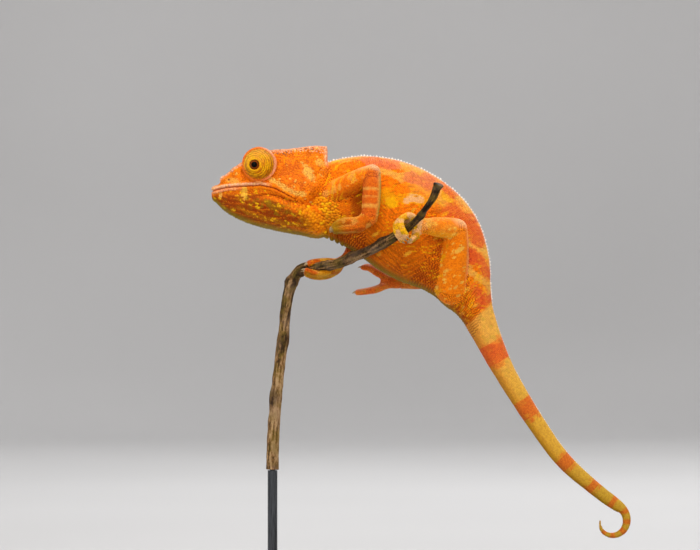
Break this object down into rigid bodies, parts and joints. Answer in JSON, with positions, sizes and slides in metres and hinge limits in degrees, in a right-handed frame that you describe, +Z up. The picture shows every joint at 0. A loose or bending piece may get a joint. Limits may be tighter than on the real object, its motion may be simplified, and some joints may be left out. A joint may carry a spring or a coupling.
{
  "type": "panther chameleon model on a display stand",
  "caption": "Life-size still model of an orange female panther chameleon gripping a cut twig, on a flat wooden base with a short rod.",
  "frame": {"origin": "middle of the stand base's underside", "axes": "+Z up, the animal's head towards -X and its tail towards +X, its left side towards -Y"},
  "size_m": [0.1902, 0.092, 0.2046],
  "materials": {
    "skin": "satin, fine granular scales",
    "limb_skin": "satin, fine granular scales",
    "eyelid": "satin, fine concentric folds",
    "eyeball": "wet gloss",
    "bark": "rough bark",
    "rod_metal": "satin black",
    "base_wood": "stained, satin varnish"
  },
  "bodies": {
    "root": {"neck": "skin", "chest": "skin", "belly": "skin", "hips": "skin", "tail_base": "skin", "tail_middle": "skin", "tail_end": "skin", "tail_tip": "skin", "head": "skin", "lower_jaw": "skin", "eye_turret_left": "eyelid", "eyeball_left": "eyeball", "eye_turret_right": "eyelid", "eyeball_right": "eyeball", "upper_arm_fore_left": "limb_skin", "forearm_fore_left": "limb_skin", "hand_fore_left": "limb_skin", "toes_outer_fore_left": "limb_skin", "toes_inner_fore_left": "limb_skin", "upper_arm_fore_right": "limb_skin", "forearm_fore_right": "limb_skin", "hand_fore_right": "limb_skin", "toes_outer_fore_right": "limb_skin", "toes_inner_fore_right": "limb_skin", "thigh_hind_left": "limb_skin", "shin_hind_left": "limb_skin", "foot_hind_left": "limb_skin", "toes_outer_hind_left": "limb_skin", "toes_inner_hind_left": "limb_skin", "thigh_hind_right": "limb_skin", "shin_hind_right": "limb_skin", "foot_hind_right": "limb_skin", "toes_outer_hind_right": "limb_skin", "toes_inner_hind_right": "limb_skin", "twig_perch": "bark", "stand_rod": "rod_metal", "stand_base": "base_wood"}
  },
  "joints": []
}
